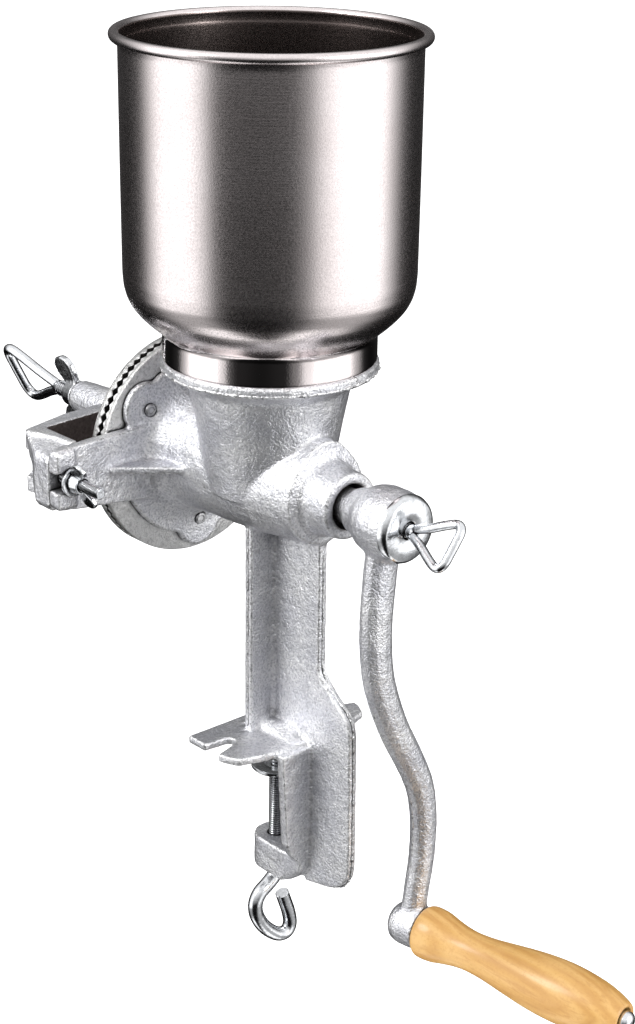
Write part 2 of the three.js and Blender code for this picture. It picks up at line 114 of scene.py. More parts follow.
# Brightness by the angle round from the camera's side, in degrees.
ROOM = ((-180, 0.3), (-150, 0.12), (-134, 0.05), (-114, 0.06), (-102, 0.9), (-92, 1.6), (-60, 1.6),
        (-50, 0.9), (-42, 0.1), (-34, 0.02), (-8, 0.01), (18, 0.02), (30, 0.25), (42, 1.1), (56, 1.6),
        (94, 1.8), (108, 0.9), (122, 0.1), (138, 0.04), (160, 0.1), (180, 0.3))
# Brightness by height, from straight down at 0 to level at 1.
UNDERSIDE = ((0.0, 1.3), (0.1, 1.2), (0.24, 0.3), (0.5, 0.3), (0.62, 1.0), (1.0, 1.0))


def make_camera():
    back = Vector((math.sin(CAMERA_AZ) * math.cos(CAMERA_EL), -math.cos(CAMERA_AZ) * math.cos(CAMERA_EL),
                   math.sin(CAMERA_EL)))
    level = Vector((math.cos(CAMERA_AZ), math.sin(CAMERA_AZ), 0))
    above = back.cross(level)
    right = level * math.cos(CAMERA_ROLL) + above * math.sin(CAMERA_ROLL)
    up = above * math.cos(CAMERA_ROLL) - level * math.sin(CAMERA_ROLL)
    camera = bpy.data.objects.new("camera", bpy.data.cameras.new("camera"))
    camera.data.lens = LENS
    bpy.context.scene.collection.objects.link(camera)
    camera.matrix_world = Matrix.Translation(CAMERA_TARGET + back * CAMERA_DISTANCE) @ Matrix(
        (right, up, back)).transposed().to_4x4()
    bpy.context.scene.camera = camera


# ---- mesh helpers ----
def spline(points, per_span, closed=False):
    """A smooth curve through the points."""
    pts = [Vector(p) for p in points]
    n = len(pts)
    first, last = 2 * pts[0] - pts[1], 2 * pts[-1] - pts[-2]
    out = []
    for i in range(n if closed else n - 1):
        a = pts[i - 1] if closed or i else first
        b, c = pts[i], pts[(i + 1) % n]
        d = pts[(i + 2) % n] if closed or i + 2 < n else last
        for k in range(per_span):
            t = k / per_span
            out.append(0.5 * (2 * b + (c - a) * t + (2 * a - 5 * b + 4 * c - d) * t * t
                              + (3 * b - a - 3 * c + d) * t ** 3))
    return out if closed else out + [pts[-1]]


def soften(points, radius, steps):
    """The polyline with each inner corner rounded."""
    most = 0.45
    pts = [Vector(p) for p in points]
    out = [pts[0]]
    for a, b, c in zip(pts, pts[1:], pts[2:]):
        start = b + (a - b).normalized() * min(radius, (a - b).length * most)
        end = b + (c - b).normalized() * min(radius, (c - b).length * most)
        for k in range(steps + 1):
            t = k / steps
            out.append(start.lerp(b, t).lerp(b.lerp(end, t), t))
    return out + [pts[-1]]


def ring(h, r, axis, sides, at=(0, 0, 0)):
    """A circle about an axis, r may be a function of the angle."""
    out = []
    for k in range(sides):
        a = TAU * k / sides
        radius = r(a) if callable(r) else r
        u, v = radius * math.cos(a), radius * math.sin(a)
        out.append(Vector(at) + Vector((h, u, v) if axis == "x" else (u, v, h)))
    return out


def skin(rows, closed=False):
    """A bmesh through equal rows of points, its ends filled unless the rows close."""
    bm = bmesh.new()
    grid = [[bm.verts.new(p) for p in row] for row in rows]
    pairs = list(zip(grid, grid[1:])) + ([(grid[-1], grid[0])] if closed else [])
    for a, b in pairs:
        for k in range(len(a)):
            m = (k + 1) % len(a)
            bm.faces.new((a[k], a[m], b[m], b[k]))
    if not closed:
        bm.faces.new(grid[0])
        bm.faces.new(grid[-1][::-1])
    bmesh.ops.remove_doubles(bm, verts=bm.verts, dist=1e-4)
    bmesh.ops.recalc_face_normals(bm, faces=bm.faces)
    return bm


def lathe(profile, axis, sides=96, at=(0, 0, 0), closed=False):
    """profile: (radius, height along the axis)."""
    return skin([ring(h, max(r, 0), axis, sides, at) for r, h in profile], closed)


def sweep(path, half, side, sides=16, closed=False, blunt=False):
    """A bar along a flat path; half(t) gives its half sizes across the path and along side."""
    side = Vector(side)
    n = len(path)
    rows = []
    for i, p in enumerate(path):
        before = path[i - 1] if closed or i else path[0]
        after = path[(i + 1) % n] if closed or i < n - 1 else path[-1]
        across = (after - before).normalized().cross(side).normalized()
        w, h = half(i / (n - 1))
        rows.append([p + across * w * math.cos(TAU * k / sides) + side * h * math.sin(TAU * k / sides)
                     for k in range(sides)])
    if not closed:
        rows = round_end(rows[::-1], blunt)
        rows = round_end(rows[::-1], blunt)
    return skin(rows, closed)


def round_end(rows, blunt):
    """Adds a domed end after the last row, or a cut one with a small chamfer."""
    last = rows[-1]
    centre = sum(last, Vector()) / len(last)
    before = sum(rows[-2], Vector()) / len(last)
    out = (centre - before).normalized()
    if blunt:
        return rows + [[centre + out * 0.5 + (p - centre) * 0.86 for p in last]]
    reach = min((p - centre).length for p in last)
    steps = 5
    dome = []
    for k in range(1, steps):
        a = k / steps * math.pi / 2
        dome.append([centre + out * reach * 0.6 * math.sin(a) + (p - centre) * math.cos(a) for p in last])
    return rows + dome


def threaded(axis, r, pitch, start, end, at, sides, depth):
    """A right hand screw thread with plain chamfered ends."""
    per_pitch = 8
    count = int((end - start) / pitch * per_pitch)
    rows = [ring(start, r - depth - 0.4, axis, sides, at)]
    for i in range(count + 1):
        h = start + (end - start) * i / count
        taper = min(1, (h - start) / pitch, (end - h) / pitch)

        def radius(a, h=h, taper=taper):
            phase = (h / pitch - a / TAU) % 1
            wave = abs(2 * phase - 1)
            return r - depth * min(1, 1.25 * wave) - 0.5 * (1 - taper)
        rows.append(ring(h, radius, axis, sides, at))
    rows.append(ring(end, r - depth - 0.4, axis, sides, at))
    return skin(rows)


def hexagon(across_corners, chamfer):
    """The radius of a six-sided head by the angle, no more than its chamfer."""
    flat = across_corners * math.cos(math.pi / 6)

    def radius(a):
        return min(flat / math.cos((a % (math.pi / 3)) - math.pi / 6), chamfer)
    return radius


def merge(*parts):
    """Several closed bmeshes in one."""
    out = bmesh.new()
    for bm in parts:
        held = bpy.data.meshes.new("held")
        bm.to_mesh(held)
        bm.free()
        out.from_mesh(held)
        bpy.data.meshes.remove(held)
    return out


def turn(bm, angle, axis):
    bmesh.ops.rotate(bm, verts=bm.verts, cent=(0, 0, 0), matrix=Matrix.Rotation(angle, 3, axis))
    return bm


def place(bm):
    """From millimetres in the mill's frame to metres in the part's frame."""
    bm.transform(Matrix.Translation(MILL) @ Matrix.Scale(MM, 4))
    return bm


def piece(name, bm, body, slot, material, *nodes, sharp=40, second=None):
    """Puts a drawn mesh in the scene, riding its body and standing in for its CAD nodes."""
    mesh = bpy.data.meshes.new(name)
    bm.to_mesh(mesh)
    bm.free()
    mesh.shade_smooth()
    mesh.set_sharp_from_angle(angle=math.radians(sharp))
    mesh.materials.append(material)
    if second:
        mesh.materials.append(second)
    obj = bpy.data.objects.new(name, mesh)
    bpy.context.scene.collection.objects.link(obj)
    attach(obj, body)
    if nodes:
        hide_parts(*nodes)


def flash(points, r, closed=False, side=(0, 1, 0), per_span=10):
    """A ragged bead of casting flash along a line."""
    path = spline(points, per_span, closed)
    n = len(path)

    def half(t):
        p = path[min(int(t * (n - 1) + 0.5), n - 1)]
        ragged = 0.4 + 1.1 * abs(noise.noise(p * 0.45)) + 0.8 * max(0, noise.noise(p * 1.15))
        return r * ragged, r * ragged
    elsewhere = Vector((9, 0, 0))
    wander = [p + Vector((noise.noise(p * 0.3), noise.noise(p * 0.3 + elsewhere), 0)) * r * 0.3
              for p in path]
    return sweep(wander, half, side, 8, closed)


def circle(r, z, count):
    return [(r * math.cos(TAU * k / count), r * math.sin(TAU * k / count), z) for k in range(count)]


# ---- castings: the CAD solid with real fillets and a sandy skin; the tin material paints a highlight on the edges ----
def modified(obj, kind, **settings):
    """Applies one modifier to the object's mesh."""
    modifier = obj.modifiers.new(kind, kind)
    for key, value in settings.items():
        setattr(modifier, key, value)
    bpy.context.view_layer.update()
    graph = bpy.context.evaluated_depsgraph_get()
    made = bpy.data.meshes.new_from_object(obj.evaluated_get(graph))
    old = obj.data
    obj.modifiers.clear()
    obj.data = made
    bpy.data.meshes.remove(old)


def clouds(name, size, depth=2):
    texture = bpy.data.textures.new(name, "CLOUDS")
    texture.noise_scale = size * MM
    texture.noise_depth = depth
    return texture


def cast_skin(obj, voxel, fillet, smooth, lumps, grain):
    """Rounds the solid's corners and roughens it as a sand mould does."""
    remesh = {"mode": "VOXEL", "voxel_size": voxel * MM}
    modified(obj, "REMESH", **remesh)
    for step in (fillet, -fillet):
        modified(obj, "DISPLACE", strength=step * MM, mid_level=0)
        modified(obj, "REMESH", **remesh)
    modified(obj, "SMOOTH", factor=0.5, iterations=smooth)
    modified(obj, "DISPLACE", texture=clouds("lumps", 9), strength=lumps * MM, texture_coords="LOCAL")
    modified(obj, "DISPLACE", texture=clouds("sand", 2.2, 1), strength=grain * MM, texture_coords="LOCAL")


def casting(name, node, body, material, bare=(), voxel=0.65, fillet=0.7, smooth=1, lumps=0.3,
            grain=0.15, second=None, chosen=None):
    """The CAD node rebuilt as a casting, with its fillet, lumps and grain in millimetres.

    bare is added after the skin is made, and chosen says which faces take the second material.
    """
    bm = bmesh.new()
    bm.from_mesh(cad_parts[node].data)
    mesh = bpy.data.meshes.new(name)
    bm.to_mesh(mesh)
    bm.free()
    obj = bpy.data.objects.new(name, mesh)
    bpy.context.scene.collection.objects.link(obj)
    cast_skin(obj, voxel, fillet, smooth, lumps, grain)
    if bare:
        bm = bmesh.new()
        bm.from_mesh(obj.data)
        bm = merge(bm, place(merge(*bare)))
        bm.to_mesh(obj.data)
        bm.free()
    obj.data.shade_smooth()
    obj.data.materials.clear()
    obj.data.materials.append(material)
    if second:
        obj.data.materials.append(second)
        for face in obj.data.polygons:
            face.material_index = int(chosen((face.center - MILL) / MM, face.normal))
    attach(obj, body)
    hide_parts(node)


def inside_bridge(at, out):
    """True on the bridge's inner walls."""
    return at.x > BRIDGE_INNER_X and abs(at.y) < BRIDGE_INNER_Y and abs(out.z) < 0.7


# ---- materials ----
def fill_ramp(ramp, stops):
    """Sets a colour ramp's stops: (position, (r, g, b)), lowest first."""
    while len(ramp.elements) > 1:
        ramp.elements.remove(ramp.elements[-1])
    ramp.elements[0].position = stops[0][0]
    ramp.elements[0].color = (*stops[0][1], 1)
    for at, color in stops[1:]:
        ramp.elements.new(at).color = (*color, 1)


class Shader:
    """Short calls for building a node material."""

    def __init__(self, name, **values):
        self.material = bpy.data.materials.new(name)
        self.material.use_nodes = True
        self.tree = self.material.node_tree
        self.surface = self.tree.nodes["Principled BSDF"]
        for key, value in values.items():
            self.surface.inputs[key.replace("_", " ")].default_value = value
        self.position = self.add("TexCoord").outputs["Object"]

    def add(self, kind, inputs=(), **settings):
        node = self.tree.nodes.new("ShaderNode" + kind)
        for key, value in settings.items():
            setattr(node, key, value)
        for key, value in dict(inputs).items():
            if isinstance(value, bpy.types.NodeSocket):
                self.tree.links.new(value, node.inputs[key])
            else:
                node.inputs[key].default_value = value
        return node

    def noise(self, size, detail=2.0, rough=0.5, stretch=(1, 1, 1)):
        """Noise with features of about size millimetres."""
        moved = self.add("Mapping", {"Vector": self.position, "Scale": stretch})
        return self.add("TexNoise", {"Vector": moved.outputs[0], "Scale": 1 / (size * MM), "Detail": detail,
                                     "Roughness": rough}).outputs["Fac"]

    def ramp(self, value, *stops):
        """stops: (position, colour or one number for grey)."""
        node = self.add("ValToRGB", {"Fac": value})
        fill_ramp(node.color_ramp, [(at, c if isinstance(c, tuple) else (c,) * 3) for at, c in stops])
        return node.outputs["Color"]

    def mix(self, a, b, fac):
        """Colour a at 0, colour b at 1."""
        node = self.add("Mix", data_type="RGBA")
        for socket, value in ((node.inputs[0], fac), (node.inputs[6], a), (node.inputs[7], b)):
            if isinstance(value, bpy.types.NodeSocket):
                self.tree.links.new(value, socket)
            elif isinstance(value, tuple):
                socket.default_value = (*value, 1)
            else:
                socket.default_value = value
        return node.outputs[2]

    def math(self, operation, *values):
        node = self.add("Math", operation=operation)
        for socket, value in zip(node.inputs, values):
            if isinstance(value, bpy.types.NodeSocket):
                self.tree.links.new(value, socket)
            else:
                socket.default_value = value
        return node.outputs[0]

    def bump(self, height, depth, normal=None):
        """depth is in millimetres."""
        inputs = {"Height": height, "Distance": depth * MM}
        if normal is not None:
            inputs["Normal"] = normal
        return self.add("Bump", inputs).outputs[0]

    def wire(self, **outputs):
        """Links outputs to the surface's inputs of the same names and gives the material."""
        for key, value in outputs.items():
            self.tree.links.new(value, self.surface.inputs[key.replace("_", " ")])
        return self.material


def edge_highlight_chips_and_groove_shade(s, tone, flecks, worn):
    """Painted highlight along the convex edges with dark chips on them, and painted shade in the grooves,
    broken up by flecks.
    """
    bend = s.add("NewGeometry").outputs["Pointiness"]
    edge = s.ramp(bend, (0.505, 0.0), (0.55, 1.0))
    # painted highlight: convex edges lightened towards white
    tone = s.mix(tone, (0.97, 0.97, 0.97), s.math("MULTIPLY", edge, 0.75))
    chipped = s.ramp(flecks, (0.52, 0.0), (0.6, 0.85 * worn))
    tone = s.mix(tone, (0.07, 0.07, 0.075), s.math("MULTIPLY", edge, chipped))
    # painted shade: concave grooves darkened in flecks, scaled with the chips by worn
    groove = s.ramp(bend, (0.43, 1.0), (0.485, 0.0))
    groove_shade = s.ramp(flecks, (0.4, 0.25 * worn), (0.6, 0.9 * worn))
    return s.mix(tone, (0.10, 0.10, 0.10), s.math("MULTIPLY", groove, groove_shade))


def painted_hollow_shade(s, tone, flecks):
    """Painted shade: darkens deep hollows, and with flecks the narrow crevices."""
    hollow = s.add("AmbientOcclusion", {"Distance": 16 * MM}).outputs["AO"]
    crevice = s.add("AmbientOcclusion", {"Distance": 2.2 * MM}, samples=8).outputs["AO"]
    # painted shade in the hollows, from ambient occlusion
    tone = s.mix((0.13, 0.12, 0.115), tone, s.ramp(hollow, (0.1, 0.1), (0.6, 1.0)))
    # painted shade in the narrow crevices, broken up by flecks
    crevice_shade = s.math("ADD", crevice, s.math("MULTIPLY", s.math("SUBTRACT", flecks, 0.5), 0.5))
    return s.mix((0.07, 0.07, 0.07), tone, s.ramp(crevice_shade, (0.5, 0.0), (0.78, 1.0)))


def cast_tin(name="cast_tin", low=(0.72, 0.725, 0.77), high=(0.90, 0.90, 0.915), worn=1.0):
    """Grey iron with a bright tin coat: sandy skin, dark pits, edges with a painted highlight and dark
    flecked chips, and painted shade in the hollows, grooves and crevices.
    """
    s = Shader(name, Metallic=1.0)
    sand = s.noise(1.15, 2.5, 0.65)
    flecks = s.noise(1.7, 3, 0.75)
    lumps = s.noise(6, 2)
    patches = s.noise(16, 4)
    tone = s.ramp(patches, (0.35, low), (0.65, high))
    tone = s.mix(tone, tuple(v * 0.72 for v in low), s.ramp(sand, (0.36, 0.85), (0.52, 0.0)))
    bright = tuple(min(1, v * 1.15) for v in high)
    tone = s.mix(tone, bright, s.ramp(sand, (0.56, 0.0), (0.68, 0.7)))
    # painted highlight on the edges, chips, and painted shade in the grooves
    tone = edge_highlight_chips_and_groove_shade(s, tone, flecks, worn)
    # painted shade in the hollows and crevices
    tone = painted_hollow_shade(s, tone, flecks)
    rough = s.ramp(sand, (0.3, 0.52), (0.7, 0.33))
    normal = s.bump(lumps, 0.7)
    normal = s.bump(sand, 0.6, normal)
    return s.wire(Base_Color=tone, Roughness=rough, Normal=normal)


def satin_sheet(name="satin_sheet", low=(0.77, 0.70, 0.695), high=(0.85, 0.785, 0.785)):
    """Spun stainless sheet: fine grained satin wall, mirror bright neck."""
    s = Shader(name, Metallic=1.0)
    height = s.add("SeparateXYZ", {"Vector": s.position}).outputs["Z"]
    wall = s.add("MapRange", {"Value": height, "From Min": MILL.z + 71 * MM,
                              "From Max": MILL.z + 76 * MM}).outputs[0]
    fine = s.noise(0.8, 2, 0.6)
    spun = s.noise(0.7, 2, 0.5, (0.04, 0.04, 1))
    tone = s.ramp(s.noise(30, 4), (0.3, low), (0.7, high))
    grain = s.math("MULTIPLY", wall, s.ramp(fine, (0.3, 0.42), (0.6, 0.0)))
    tone = s.mix(tone, tuple(v * 0.6 for v in low), grain)
    rough = s.math("ADD", s.math("MULTIPLY", wall, s.ramp(fine, (0.35, 0.24), (0.65, 0.15))), 0.05)
    normal = s.bump(spun, 0.02)
    normal = s.bump(fine, 0.03, normal)
    return s.wire(Base_Color=tone, Roughness=rough, Normal=normal)


def bright_zinc(name="bright_zinc", tone=(0.74, 0.755, 0.78), rough=0.14):
    """Bright zinc plate with faint drawing marks and dull spots, and painted shade in the thread roots and
    crevices.
    """
    s = Shader(name, Metallic=1.0)
    fine = s.noise(1.6, 3)
    spots = s.noise(5, 4)
    bend = s.add("NewGeometry").outputs["Pointiness"]
    crevice = s.add("AmbientOcclusion", {"Distance": 1.3 * MM}, samples=8).outputs["AO"]
    color = s.mix(tone, tuple(v * 0.72 for v in tone), s.ramp(spots, (0.5, 0.0), (0.7, 1.0)))
    # painted shade in the concave grooves and thread roots
    color = s.mix((0.12, 0.12, 0.125), color, s.ramp(bend, (0.42, 0.0), (0.49, 1.0)))
    # painted shade in the narrow crevices, from ambient occlusion
    color = s.mix((0.05, 0.05, 0.055), color, s.ramp(crevice, (0.55, 0.0), (0.95, 1.0)))
    worn = s.ramp(fine, (0.3, rough * 0.75), (0.7, rough * 1.6))
    roughness = s.math("ADD", worn, s.ramp(bend, (0.42, 0.4), (0.49, 0.0)))
    return s.wire(Base_Color=color, Roughness=roughness, Normal=s.bump(fine, 0.08))


def burr_face_iron_and_shade():
    """The untinned, oily face of a burr, painted near-black with the shade in the gap between the burrs and
    among the teeth.
    """
    s = Shader("burr_face_iron_and_shade", Metallic=0.9)
    grit = s.noise(1.4, 3, 0.6)
    # painted shade: a near-black tone
    tone = s.ramp(grit, (0.3, (0.035, 0.033, 0.03)), (0.7, (0.09, 0.085, 0.08)))
    return s.wire(Base_Color=tone, Roughness=s.ramp(grit, (0.3, 0.65), (0.7, 0.45)), Normal=s.bump(grit, 0.2))


def bridge_inside_shade():
    """Painted shade for the bridge's inner walls, a dark oily brown."""
    s = Shader("bridge_inside_shade", Metallic=0.6)
    grit = s.noise(1.6, 3, 0.6)
    tone = s.ramp(grit, (0.3, (0.06, 0.045, 0.042)), (0.7, (0.11, 0.088, 0.082)))
    return s.wire(Base_Color=tone, Roughness=s.ramp(grit, (0.3, 0.7), (0.7, 0.5)), Normal=s.bump(grit, 0.25))


def plain_steel():
    return bright_zinc("plain_steel", (0.62, 0.62, 0.63), 0.32)


def varnished_wood():
    """Light amber wood under clear varnish, the grain along the handle."""
    s = Shader("varnished_wood", Coat_Weight=0.4, Coat_Roughness=0.2)
    turned = s.add("Mapping", {"Vector": s.position, "Rotation": (0, 0, -GRIP_YAW), "Scale": (0.1, 1, 1)})
    streaks = s.add("TexNoise", {"Vector": turned.outputs[0], "Scale": 420.0, "Detail": 5.0, "Roughness": 0.6,
                                 "Distortion": 0.4}).outputs["Fac"]
    rings = s.add("TexWave", {"Vector": turned.outputs[0], "Scale": 60.0, "Distortion": 5.0, "Detail": 3.0,
                              "Detail Scale": 1.5}, bands_direction="Y").outputs["Fac"]
    patches = s.noise(26, 2)
    tone = s.ramp(rings, (0.0, (0.50, 0.26, 0.065)), (0.5, (0.56, 0.31, 0.085)), (1.0, (0.60, 0.35, 0.11)))
    tone = s.mix(tone, (0.40, 0.175, 0.035), s.ramp(streaks, (0.34, 0.45), (0.5, 0.0)))
    tone = s.mix(tone, (0.70, 0.44, 0.17), s.ramp(patches, (0.45, 0.0), (0.75, 0.4)))
    tone = s.mix(tone, (0.44, 0.21, 0.05), s.ramp(s.noise(1.5, 3, 0.7), (0.32, 0.35), (0.5, 0.0)))
    rough = s.ramp(streaks, (0.3, 0.5), (0.7, 0.4))
    return s.wire(Base_Color=tone, Roughness=rough, Normal=s.bump(streaks, 0.05))


def mill_flash():
    """Ragged flash under the hopper's neck and parting lines down the post and along the plate's spine."""
    front = [(40, 0, z) for z in (-30, -45, -60, -75, -86)]
    edge = front + [(43.9, 0, -94.6), (51, 0, -100.9), (58.6, 0, -106), (62.3, 0, -111), (63.5, 0, -117),
                    (63.9, 0, -133), (64, 0, -150), (64.2, 0, -170), (64.3, 0, -188), (63, 0, -194.6),
                    (60, 0, -199.6), (56.5, 0, -202.5), (51, 0, -204.9), (44, 0, -206.5)]
    beads = [flash(edge, 0.75), flash(circle(51.0, 54.9, 40), 1.0, True, (0, 0, 1), 8),
             flash(circle(50.8, 57.6, 40), 0.8, True, (0, 0, 1), 8)]
    for s in (-1, 1):
        beads.append(flash([(4.6, s * 17, z) for z in range(-128, -22, 15)], 0.6))
    return beads


def crank_flash():
    """The parting line down both edges of the crank arm."""
    beads = []
    for s in (-1, 1):
        line = [(CRANK_X, y + s * (half - 0.25), z + s * 0.8) for y, z, half in CRANK_LINE]
        beads.append(flash(line, 0.6, False, (1, 0, 0)))
    return beads


def hub_face():
    """The turned, bright end of the crank's hub."""
    profile = [(4.2, -2), (15.6, -3.6), (16.35, -4.1), (16.3, -3), (15.6, -1.2), (14.9, -0.35),
               (14.0, 0.1), (9, 0.18), (4.9, 0.1), (4.3, -0.4)]
    return lathe([(r, HUB_END + h) for r, h in profile], "x", 96, closed=True)



# ---- the sheet hopper ----
def hopper():
    """The spun shell with its rolled rim; its inner faces take the second material, a darker copy of the
    sheet painted with the shade inside the hopper.
    """
    bead_z = RIM_TOP - BEAD_R
    outside = [(NECK_R - 0.3, NECK_LOW), (NECK_R, NECK_LOW + 0.6), (NECK_R, 71.5), (51.6, 73.4), (55.2, 76.2),
               (58.6, 79.2), (61.8, 82.4), (64.6, 85.9), (66.6, 89.8), (67.9, 94.6), (68.4, 101), (68.6, 150),
               (68.7, bead_z - 5), (68.9, bead_z - 3.6)]
    outside = [tuple(p)[:2] for p in soften([(r, z, 0) for r, z in outside], 1.6, 3)]
    centre_r = RIM_OUT - BEAD_R
    bead = [(centre_r + BEAD_R * math.cos(a), bead_z + BEAD_R * math.sin(a))
            for a in (math.radians(-118 + 310 * k / 20) for k in range(21))]
    inside = [(r - WALL, z) for r, z in reversed(outside)]
    bm = lathe(outside + bead + inside, "z", 224, closed=True)
    for f in bm.faces:
        at = f.calc_center_median()
        outward = f.normal.xy.dot(at.xy.normalized())
        if outward < -0.35 and at.z < bead_z + 1:
            f.material_index = 1
    return bm


# ---- burrs ----
def burr(face, back, inner_r, into):
    """A ring whose face and rim are cut with teeth; the face takes the second material.

    into is the way into the metal, +1 or -1.
    """
    sides = BURR_TEETH * 6
    thick = abs(back - face)

    def toothed(r, drop, cut):
        """A circle of teeth cut deep, drop below the face."""
        row = []
        for k in range(sides):
            a = TAU * k / sides
            tooth = abs(2 * ((k / sides * BURR_TEETH) % 1) - 1)
            row.append(Vector((face + into * (drop + cut * tooth), r * math.cos(a), r * math.sin(a))))
        return row
    front = [(inner_r, 0.9, 0), (inner_r + 1.5, 0.3, 0), (BURR_R * 0.62, 0.0, 0.35),
             (BURR_R * 0.63, 0.0, 0.7), (BURR_R - 3.4, 0.0, 1.2), (BURR_R - 2.0, 0.2, 1.6),
             (BURR_R - 0.25, 0.1, 1.7), (BURR_R, 0.45, 1.5)]
    rear = [(BURR_R + 0.02, thick * 0.62), (BURR_R, thick - 0.7), (BURR_R - 0.2, thick - 0.3),
            (BURR_R - 0.7, thick), (inner_r, thick)]
    rows = [toothed(*station) for station in front]
    rows += [ring(face + into * depth, r, "x", sides) for r, depth in rear]
    bm = skin(rows, closed=True)
    # the toothed face towards the other burr takes the second material, painted shade
    for f in bm.faces:
        at = f.calc_center_median()
        ground = abs(at.x - face) < 2.2 and math.hypot(at.y, at.z) < BURR_R - 0.3
        if ground and f.normal.x * into < -0.2:
            f.material_index = 1
    return bm


def rivets():
    """The rivets that hold the fixed burr, each head peened down with a shallow ring."""
    profile = [(0, -62.6), (2.3, -62.6), (2.3, RIVET_HEAD_X - 0.3), (3.1, RIVET_HEAD_X), (3.15, -53.3),
               (2.9, -52.7), (2.4, -52.35), (1.9, -52.35), (1.6, -52.7), (1.2, -52.75), (0, -52.6)]
    parts = []
    for angle in RIVET_ANGLES:
        a = math.radians(angle)
        at = (0, RIVET_R * math.cos(a), RIVET_R * math.sin(a))
        parts.append(lathe(profile, "x", 32, at))
    return parts


# ---- screws, nuts and wire loops ----
def bolt(side, tip):
    """A hexagon headed bolt of the bridge, threaded to its tip."""
    at = (0, side * BOLT_Y, 0)
    head = [ring(BOLT_HEAD, 4.9, "x", 48, at)]
    for rise, chamfer in ((0.25, 5.6), (0.9, BOLT_HEX_R), (5.7, BOLT_HEX_R), (5.95, 5.8)):
        head.append(ring(BOLT_HEAD + rise, hexagon(BOLT_HEX_R, chamfer), "x", 48, at))
    plain = lathe([(0, BOLT_HEAD + 3), (BOLT_R, BOLT_HEAD + 3), (BOLT_R, -60), (2.5, -59.4), (0, -59.4)],
                  "x", 32, at)
    thread = threaded("x", BOLT_R, BOLT_PITCH, -60.5, tip, at, 32, 0.5)
    return merge(skin(head), plain, thread)


def washer(side):
    """A flat washer with softened edges."""
    profile = [(3.3, WASHER_LOW), (7.2, WASHER_LOW), (7.2, WASHER_HIGH), (3.3, WASHER_HIGH)]
    loop = soften([(*p, 0) for p in profile + [profile[0]]], 0.35, 3)
    return lathe([tuple(p)[:2] for p in loop[:-1]], "x", 48, (0, side * BOLT_Y, 0), closed=True)


def wire_loop(apex, length, half, r, facing, flat_turn):
    """A rounded three-cornered wire loop, its apex on the screw's axis, facing along +x or -x."""
    upper = [(0.0, r * 0.75), (length * 0.3, half * 0.42), (length * 0.6, half * 0.78),
             (length * 0.8, half * 0.98), (length * 0.92, half * 0.96), (length * 0.99, half * 0.72),
             (length, half * 0.3)]
    corners = [(x, -z) for x, z in upper] + upper[::-1]
    path = spline([(apex + facing * x, 0, z) for x, z in corners], 8)
    bm = sweep(path, lambda t: (r, r), (0, 1, 0), 20)
    return turn(bm, flat_turn, "X")


def adjusting_screw():
    """The threaded screw that sets the burrs' gap, with its collar and wire loop."""
    shank_end = ADJUST_TIP - ADJ_SHANK
    shank = threaded("x", ADJ_R, ADJ_PITCH, shank_end, ADJUST_TIP, (0, 0, 0), 40, 0.7)
    collar = lathe([(0, shank_end - 5), (2.8, shank_end - 4.7), (3.8, shank_end - 3),
                    (3.95, shank_end + 1), (0, shank_end + 1.5)], "x", 40)
    apex = shank_end - 3
    loop = wire_loop(apex, apex - LOOP_END - ADJ_WIRE_R, ADJ_LOOP_HALF, ADJ_WIRE_R, -1, ADJ_LOOP_TURN)
    return merge(shank, collar, loop)


def thumbscrew():
    """The screw in the end of the crank's hub, with its wire loop."""
    shank = threaded("x", THUMB_R, THUMB_PITCH, THUMB_TIP, HUB_END + 0.6, (0, 0, 0), 36, 0.5)
    collar = lathe([(0, HUB_END - 0.5), (3.3, HUB_END - 0.4), (3.5, HUB_END + 1.2),
                    (3.1, HUB_END + 3), (0, HUB_END + 3.4)], "x", 36)
    apex = HUB_END + 2.4
    loop = wire_loop(apex, THUMB_LOOP_END - apex - THUMB_WIRE_R, THUMB_LOOP_HALF, THUMB_WIRE_R, 1,
                     THUMB_LOOP_TURN)
    return merge(shank, collar, loop)


def clamp_screw():
    """The table clamp's screw: a pivot in the cup above, the thread, and a bent hook to turn it by."""
    at = (SCREW_X, 0, 0)
    shank = threaded("z", CLAMP_R, CLAMP_PITCH, LUG_LOW, -157.6, at, 40, 0.78)
    pivot = lathe([(0, -159), (2.6, -158.5), (2.6, SCREW_TOP - 0.5), (2.1, SCREW_TOP), (0, SCREW_TOP)],
                  "z", 32, at)
    line = [(0, -207), (0, -211), (0, -214.2), (-1.6, -218), (-6, -221.4), (-11, -224.6), (-13.7, -229.8),
            (-13, -236.6), (-8.8, -244.4), (-2.8, -250.8), (2.8, -254.4), (7.6, -254.4), (9.8, -250.2),
            (8.6, -243), (6.2, -236), (4.2, -230.4)]
    path = spline([(SCREW_X, y, z) for y, z in line], 6)
    hook = sweep(path, lambda t: (CLAMP_R - 0.4 * t,) * 2, (1, 0, 0), 24, blunt=True)
    return merge(shank, pivot, hook)


def clamp_cup():
    profile = [(3, CUP_LOW), (8, CUP_LOW), (12.0, CUP_LOW + 0.4), (CUP_R, CUP_LOW + 1.3),
               (CUP_R, CUP_TOP - 0.3), (CUP_R - 0.3, CUP_TOP), (6.6, CUP_TOP), (6.1, CUP_TOP - 0.4),
               (5.6, CUP_TOP - 1.2), (3, CUP_TOP - 1.2)]
    return lathe(profile, "z", 72, (SCREW_X, 0, 0), closed=True)


# ---- handle ----
def along_grip(bm):
    """A shape drawn along +x from the grip's seat, put in its place."""
    seat = GRIP_AT + Vector((GRIP_SEAT * math.cos(GRIP_YAW), GRIP_SEAT * math.sin(GRIP_YAW), 0))
    turn(bm, GRIP_YAW, "Z")
    bmesh.ops.translate(bm, verts=bm.verts, vec=seat)
    return bm


